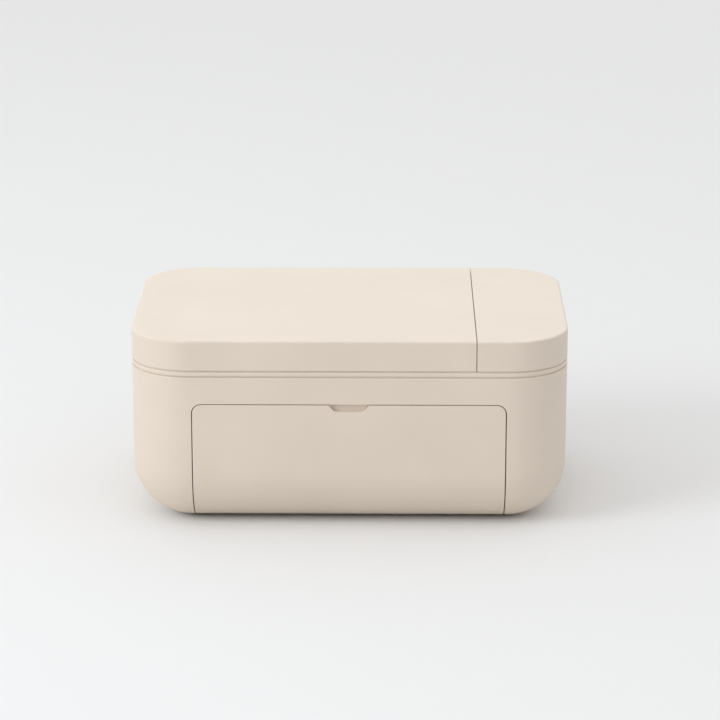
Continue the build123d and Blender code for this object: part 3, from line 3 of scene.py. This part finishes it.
import bpy
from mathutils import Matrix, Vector


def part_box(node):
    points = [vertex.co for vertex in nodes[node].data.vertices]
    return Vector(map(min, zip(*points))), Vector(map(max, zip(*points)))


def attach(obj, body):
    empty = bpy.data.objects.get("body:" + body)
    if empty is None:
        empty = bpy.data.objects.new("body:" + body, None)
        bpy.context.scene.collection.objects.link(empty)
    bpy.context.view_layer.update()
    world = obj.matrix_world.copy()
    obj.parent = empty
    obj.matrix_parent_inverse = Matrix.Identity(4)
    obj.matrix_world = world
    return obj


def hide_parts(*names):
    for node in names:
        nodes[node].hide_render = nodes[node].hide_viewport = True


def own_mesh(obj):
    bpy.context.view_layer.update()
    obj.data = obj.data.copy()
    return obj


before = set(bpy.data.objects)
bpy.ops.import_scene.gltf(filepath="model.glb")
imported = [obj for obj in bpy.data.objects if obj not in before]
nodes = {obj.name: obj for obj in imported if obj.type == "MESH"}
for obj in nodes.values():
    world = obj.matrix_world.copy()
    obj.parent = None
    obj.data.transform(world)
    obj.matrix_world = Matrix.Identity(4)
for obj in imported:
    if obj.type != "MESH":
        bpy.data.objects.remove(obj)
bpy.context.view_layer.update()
MM = 0.001

# Camera, as it stood for the photograph: angles in degrees, lens and sensor in millimetres
CAMERA_PLACE = (18.1 * MM, -1345.1 * MM, 459.3 * MM)
CAMERA_PITCH = 16.51
CAMERA_YAW = -0.59
CAMERA_LENS = 152.5
CAMERA_REACH = 50.0
SENSOR_WIDTH = 36.0

# Light, in metres and watts: a very broad overhead light, and a soft window on the left, which is
# near enough to fade to the right
WHITE = (1.0, 1.0, 1.0)
WORLD_LEVEL = 0.03
BACKDROP = (0.855, 0.855, 0.87)
TOP_STRENGTH = 2.6
TOP_SOFTNESS = 150.0
WINDOW_PLACE = (-1.42, -0.80, 0.80)
WINDOW_TARGET = (0.0, 0.0, 0.05)
WINDOW_SIZE = 0.9
WINDOW_POWER = 11.4
WINDOW_COLOUR = (0.95, 1.0, 1.05)
FLOOR_HALF = 6.0
FLOOR_COLOUR = (0.86, 0.86, 0.86)

# Leaf springs over the heat sink; the tips are narrower than the middle
LEAF_HALF_LENGTH = 9.0 * MM
LEAF_THICKNESS = 0.5 * MM
LEAF_EDGE = 0.12 * MM
LEAF_TIP_SHARE = 0.7
LEAF_STEPS = 48

# Colours, as linear values
CREAM = (0.745, 0.645, 0.54)
CREAM_INNER = (0.72, 0.62, 0.515)
# Warm brown of the bay behind the door is painted shade: it makes the door gap read as a warm
# dark crevice
BAY_SHADE_BROWN = (0.58, 0.45, 0.32)
CHARCOAL = (0.028, 0.028, 0.031)
LIGHT_GREY = (0.48, 0.49, 0.51)
ACETAL_CREAM = (0.70, 0.68, 0.61)
STEEL_GREY = (0.56, 0.57, 0.56)
STEEL_BRIGHT = (0.66, 0.66, 0.67)
ALUMINIUM = (0.72, 0.73, 0.75)
BRONZE_BROWN = (0.42, 0.25, 0.12)
BRASS_YELLOW = (0.66, 0.48, 0.2)
RUBBER_BLACK = (0.02, 0.02, 0.021)
RUBBER_GREY = (0.14, 0.13, 0.12)
INK_VIOLET = (0.02, 0.012, 0.03)
CERAMIC_WHITE = (0.7, 0.66, 0.56)
BOARD_GREEN = (0.01, 0.085, 0.035)
EPOXY_BLACK = (0.012, 0.012, 0.013)
LENS_CLEAR = (0.75, 0.8, 0.76)

# Surface patterns: features in a millimetre, shares of the colour and depths in millimetres
NOISE_LOW = 0.3
NOISE_HIGH = 0.7
PLASTIC_CLOUDS = 0.03
METAL_CLOUDS = 0.05
METAL_SHADES = (0.94, 1.05)
STREAKS = 5.0
STREAK_SQUEEZE = 0.04
STREAK_DEPTH = 0.01


class Nodes:
    """A new material with its node tree and short ways to add nodes to it."""

    def __init__(self, name):
        self.material = bpy.data.materials.new(name)
        self.material.use_nodes = True
        self.tree = self.material.node_tree
        self.tree.nodes.clear()
        output = self.tree.nodes.new("ShaderNodeOutputMaterial")
        self.shader = self.tree.nodes.new("ShaderNodeBsdfPrincipled")
        self.link(self.shader.outputs["BSDF"], output.inputs["Surface"])
        self.place = self.tree.nodes.new("ShaderNodeTexCoord").outputs["Object"]

    def link(self, source, target):
        self.tree.links.new(source, target)

    def stretched(self, scale):
        """Object coordinates, scaled apart along X, Y and Z."""
        mapping = self.tree.nodes.new("ShaderNodeMapping")
        mapping.inputs["Scale"].default_value = scale
        self.link(self.place, mapping.inputs["Vector"])
        return mapping.outputs["Vector"]

    def noise(self, per_mm, detail, rough=0.5, vector=None):
        """Noise with about per_mm features in a millimetre."""
        noise = self.tree.nodes.new("ShaderNodeTexNoise")
        noise.inputs["Scale"].default_value = per_mm / MM
        noise.inputs["Detail"].default_value = detail
        noise.inputs["Roughness"].default_value = rough
        self.link(vector or self.place, noise.inputs["Vector"])
        return noise.outputs["Fac"]

    def tint(self, noise, colour, darker, lighter):
        """Base colour that runs from a darker to a lighter share of itself with the noise."""
        ramp = self.tree.nodes.new("ShaderNodeValToRGB")
        stops = ((NOISE_LOW, darker), (NOISE_HIGH, lighter))
        for point, (position, factor) in zip(ramp.color_ramp.elements, stops):
            point.position = position
            point.color = (*shade(colour, factor), 1.0)
        self.link(noise, ramp.inputs["Fac"])
        self.link(ramp.outputs["Color"], self.shader.inputs["Base Color"])

    def roughness(self, noise, low, high):
        """Roughness that runs from low to high with the noise."""
        spread = self.tree.nodes.new("ShaderNodeMapRange")
        spread.inputs["From Min"].default_value = NOISE_LOW
        spread.inputs["From Max"].default_value = NOISE_HIGH
        spread.inputs["To Min"].default_value = low
        spread.inputs["To Max"].default_value = high
        self.link(noise, spread.inputs["Value"])
        self.link(spread.outputs["Result"], self.shader.inputs["Roughness"])

    def bump(self, height, depth_mm):
        """Surface relief of the given depth."""
        bump = self.tree.nodes.new("ShaderNodeBump")
        bump.inputs["Strength"].default_value = 1.0
        bump.inputs["Distance"].default_value = depth_mm * MM
        self.link(height, bump.inputs["Height"])
        self.link(bump.outputs["Normal"], self.shader.inputs["Normal"])

    def constant(self, **values):
        """Numbers set on the shader's own sockets."""
        for name, value in values.items():
            self.shader.inputs[name.replace("_", " ")].default_value = value


def shade(colour, factor):
    """Colour made darker or lighter, and never past full."""
    return tuple(min(1.0, channel * factor) for channel in colour)


def moulded(name, colour, spread=0.02, low=0.42, high=0.52, grain=4.0, depth=0.012):
    """Moulded plastic with a fine spark-eroded grain."""
    made = Nodes(name)
    clouds = made.noise(PLASTIC_CLOUDS, detail=3.0)
    fine = made.noise(grain, detail=3.0, rough=0.6)
    made.tint(clouds, colour, 1 - spread, 1 + spread)
    made.roughness(fine, low, high)
    made.bump(fine, depth)
    return made


def brushed(name, colour, along, low, high):
    """Metal drawn or ground along one axis: 0 for X, 1 for Y."""
    made = Nodes(name)
    squeeze = tuple(STREAK_SQUEEZE if axis == along else 1.0 for axis in range(3))
    streaks = made.noise(STREAKS, detail=4.0, rough=0.65, vector=made.stretched(squeeze))
    clouds = made.noise(METAL_CLOUDS, detail=2.0)
    made.tint(clouds, colour, *METAL_SHADES)
    made.roughness(streaks, low, high)
    made.bump(streaks, STREAK_DEPTH)
    made.constant(Metallic=1.0)
    return made


def dress(material, *names):
    """Give CAD nodes a finished material."""
    for name in names:
        slots = nodes[name].material_slots
        for slot in slots:
            slot.material = material.material
        if not slots:
            nodes[name].data.materials.append(material.material)


# Case
case_plastic = moulded("case_plastic", CREAM)
case_plastic.constant(Specular_IOR_Level=0.8)
dress(case_plastic, "outer_shell", "trim_ring", "lid", "side_cap", "front_door", "power_button")
deck_plastic = moulded("deck_plastic", CREAM_INNER, low=0.5, high=0.6)
dress(deck_plastic, "top_deck")
# Bay behind the door: its brown is painted shade for the warm dark door gap
bay_painted_shade = moulded("bay_painted_shade", BAY_SHADE_BROWN, spread=0.04, low=0.5, high=0.65)
dress(bay_painted_shade, "front_bay")
dark_plastic = moulded("dark_plastic", CHARCOAL, spread=0.1, low=0.45, high=0.6, grain=3.0)
dress(
    dark_plastic,
    "cassette_rails",
    "exit_guide",
    "rear_guide",
    "head_carrier",
    "fan_frame",
    "fan_rotor",
)

# Steel parts
sheet_steel = brushed("sheet_steel", STEEL_GREY, along=0, low=0.3, high=0.48)
dress(
    sheet_steel,
    "chassis_base",
    "left_side_frame",
    "right_side_frame",
    "gear_plate",
    "cross_beams",
    "lid_hinge_brackets",
    "door_strikers",
    "lid_strikers",
    "case_screws",
    "feed_motor",
    "ribbon_motor",
    "usb_port",
)
bright_steel = brushed("bright_steel", STEEL_BRIGHT, along=1, low=0.14, high=0.26)
dress(
    bright_steel,
    "door_hinge_pins",
    "lid_hinge_pins",
    "feed_roller",
    "pinch_roller",
    "platen_shaft",
    "pickup_shaft",
    "gear_posts",
    "latch_magnets",
)

# Other metals
sink_metal = brushed("sink_metal", ALUMINIUM, along=0, low=0.28, high=0.45)
dress(sink_metal, "heat_sink")
bronze = moulded("bronze", BRONZE_BROWN, spread=0.12, low=0.35, high=0.5, grain=6.0)
bronze.constant(Metallic=1.0)
dress(bronze, "roller_bushes")
brass = brushed("brass", BRASS_YELLOW, along=0, low=0.22, high=0.38)
dress(brass, "feed_pinion", "ribbon_pinion")

# Rubber
roller_rubber = moulded(
    "roller_rubber", RUBBER_BLACK, spread=0.15, low=0.6, high=0.8, grain=5.0, depth=0.03
)
dress(roller_rubber, "platen_rubber", "pickup_tyres")
foot_rubber = moulded(
    "foot_rubber", RUBBER_GREY, spread=0.08, low=0.65, high=0.8, grain=3.0, depth=0.03
)
dress(foot_rubber, "rubber_feet")

# Drive and cartridge plastics
acetal = moulded("acetal", ACETAL_CREAM, low=0.32, high=0.42, grain=2.0, depth=0.006)
dress(
    acetal,
    "feed_gear",
    "platen_gear",
    "compound_gear",
    "pickup_idler",
    "pickup_gear",
    "takeup_gear",
)
spool_plastic = moulded("spool_plastic", LIGHT_GREY, spread=0.03, low=0.35, high=0.48)
dress(spool_plastic, "cartridge_frame", "supply_spool", "takeup_spool")
ink = moulded("ink", INK_VIOLET, spread=0.2, low=0.08, high=0.16, grain=0.5, depth=0.004)
dress(ink, "supply_roll", "takeup_roll", "ink_film")
ceramic = moulded(
    "ceramic", CERAMIC_WHITE, spread=0.03, low=0.12, high=0.2, grain=2.0, depth=0.004
)
dress(ceramic, "head_strip")

# Electronics
board = moulded("board", BOARD_GREEN, spread=0.15, low=0.22, high=0.34, grain=1.5, depth=0.01)
dress(board, "main_board", "power_board")
epoxy = moulded("epoxy", EPOXY_BLACK, spread=0.1, low=0.4, high=0.55)
dress(epoxy, "board_chips", "dc_inlet")
lens = moulded("lens", LENS_CLEAR, low=0.2, high=0.3)
dress(lens, "power_light")


def leaf_rings(middle_x, low, high):
    """Rounded cross-sections of one bowed leaf, from its left tip to its right tip."""
    rise = high.z - LEAF_THICKNESS - low.z
    bow = (LEAF_HALF_LENGTH**2 + rise**2) / (2 * rise)
    middle_y = (low.y + high.y) / 2
    half_width = (high.y - low.y) / 2
    for step in range(LEAF_STEPS + 1):
        along = 2 * step / LEAF_STEPS - 1
        from_middle = along * LEAF_HALF_LENGTH
        bottom = low.z + sqrt(bow**2 - from_middle**2) - (bow - rise)
        half = half_width * (1 - (1 - LEAF_TIP_SHARE) * along**2)
        outline = (
            (-half + LEAF_EDGE, 0),
            (half - LEAF_EDGE, 0),
            (half, LEAF_EDGE),
            (half, LEAF_THICKNESS - LEAF_EDGE),
            (half - LEAF_EDGE, LEAF_THICKNESS),
            (-half + LEAF_EDGE, LEAF_THICKNESS),
            (-half, LEAF_THICKNESS - LEAF_EDGE),
            (-half, LEAF_EDGE),
        )
        yield [(middle_x + from_middle, middle_y + across, bottom + up) for across, up in outline]


def leaf_faces(first, rings, count):
    """Faces between rings of count points each, and one over each tip."""
    last = first + (rings - 1) * count
    faces = [tuple(reversed(range(first, first + count))), tuple(range(last, last + count))]
    for start in range(first, last, count):
        for corner in range(count):
            after = (corner + 1) % count
            faces.append(
                (start + corner, start + after, start + count + after, start + count + corner)
            )
    return faces


def add_object(name, data):
    """New object that holds the given data."""
    added = bpy.data.objects.new(name, data)
    bpy.context.collection.objects.link(added)
    return added


def add_leaf_springs():
    """Two bowed leaf springs over the heat sink, in place of the head_springs part."""
    low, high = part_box("head_springs")
    points, faces = [], []
    for middle_x in (low.x + LEAF_HALF_LENGTH, high.x - LEAF_HALF_LENGTH):
        rings = list(leaf_rings(middle_x, low, high))
        faces += leaf_faces(len(points), len(rings), len(rings[0]))
        for ring in rings:
            points += ring
    mesh = bpy.data.meshes.new("leaf_springs")
    mesh.from_pydata(points, [], faces)
    mesh.materials.append(bright_steel.material)
    springs = add_object("leaf_springs", mesh)
    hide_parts("head_springs")
    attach(springs, "lid")
    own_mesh(springs)


def add_floor():
    """Plain pale surface that the printer stands on."""
    floor_mesh = bpy.data.meshes.new("floor")
    signs = [(-1, -1), (1, -1), (1, 1), (-1, 1)]
    corners = [(x * FLOOR_HALF, y * FLOOR_HALF, 0) for x, y in signs]
    floor_mesh.from_pydata(corners, [], [(0, 1, 2, 3)])
    floor = add_object("floor", floor_mesh)
    made = moulded(
        "floor_paper", FLOOR_COLOUR, spread=0.002, low=0.85, high=0.95, grain=0.5, depth=0.02
    )
    made.constant(Specular_IOR_Level=0.1)
    floor.data.materials.append(made.material)


def add_world():
    """Even surround light, and a pale background where the camera looks past the floor."""
    world = bpy.data.worlds.new("surround")
    bpy.context.scene.world = world
    world.use_nodes = True
    tree = world.node_tree
    tree.nodes.clear()
    light = tree.nodes.new("ShaderNodeBackground")
    light.inputs["Color"].default_value = (*WHITE, 1.0)
    light.inputs["Strength"].default_value = WORLD_LEVEL
    seen = tree.nodes.new("ShaderNodeBackground")
    seen.inputs["Color"].default_value = (*BACKDROP, 1.0)

    # The background shows to the camera, in metal and through clear parts
    path = tree.nodes.new("ShaderNodeLightPath")
    shown = path.outputs["Is Camera Ray"]
    for ray in ("Is Glossy Ray", "Is Transmission Ray"):
        either = tree.nodes.new("ShaderNodeMath")
        either.operation = "MAXIMUM"
        tree.links.new(shown, either.inputs[0])
        tree.links.new(path.outputs[ray], either.inputs[1])
        shown = either.outputs["Value"]

    mix = tree.nodes.new("ShaderNodeMixShader")
    output = tree.nodes.new("ShaderNodeOutputWorld")
    tree.links.new(shown, mix.inputs["Fac"])
    tree.links.new(light.outputs["Background"], mix.inputs[1])
    tree.links.new(seen.outputs["Background"], mix.inputs[2])
    tree.links.new(mix.outputs["Shader"], output.inputs["Surface"])


def add_overhead():
    """Very broad light from straight above."""
    lamp = bpy.data.lights.new("overhead", "SUN")
    lamp.energy = TOP_STRENGTH
    lamp.angle = radians(TOP_SOFTNESS)
    add_object("overhead", lamp)


def add_window():
    """Soft round light at the left, turned towards the printer."""
    lamp = bpy.data.lights.new("window", "AREA")
    lamp.shape = "DISK"
    lamp.size = WINDOW_SIZE
    lamp.energy = WINDOW_POWER
    lamp.color = WINDOW_COLOUR
    holder = add_object("window", lamp)
    holder.location = WINDOW_PLACE
    away = Vector(WINDOW_PLACE) - Vector(WINDOW_TARGET)
    holder.rotation_euler = away.to_track_quat("Z", "Y").to_euler()


def add_camera():
    """Camera at the photograph's place and angle."""
    lens_data = bpy.data.cameras.new("camera")
    lens_data.lens = CAMERA_LENS
    lens_data.sensor_width = SENSOR_WIDTH
    lens_data.clip_end = CAMERA_REACH
    holder = add_object("camera", lens_data)
    holder.location = CAMERA_PLACE
    holder.rotation_euler = (radians(90 - CAMERA_PITCH), 0, radians(-CAMERA_YAW))
    bpy.context.scene.camera = holder


bpy.context.scene.view_settings.view_transform = "Standard"
add_leaf_springs()
add_floor()
add_world()
add_overhead()
add_window()
add_camera()
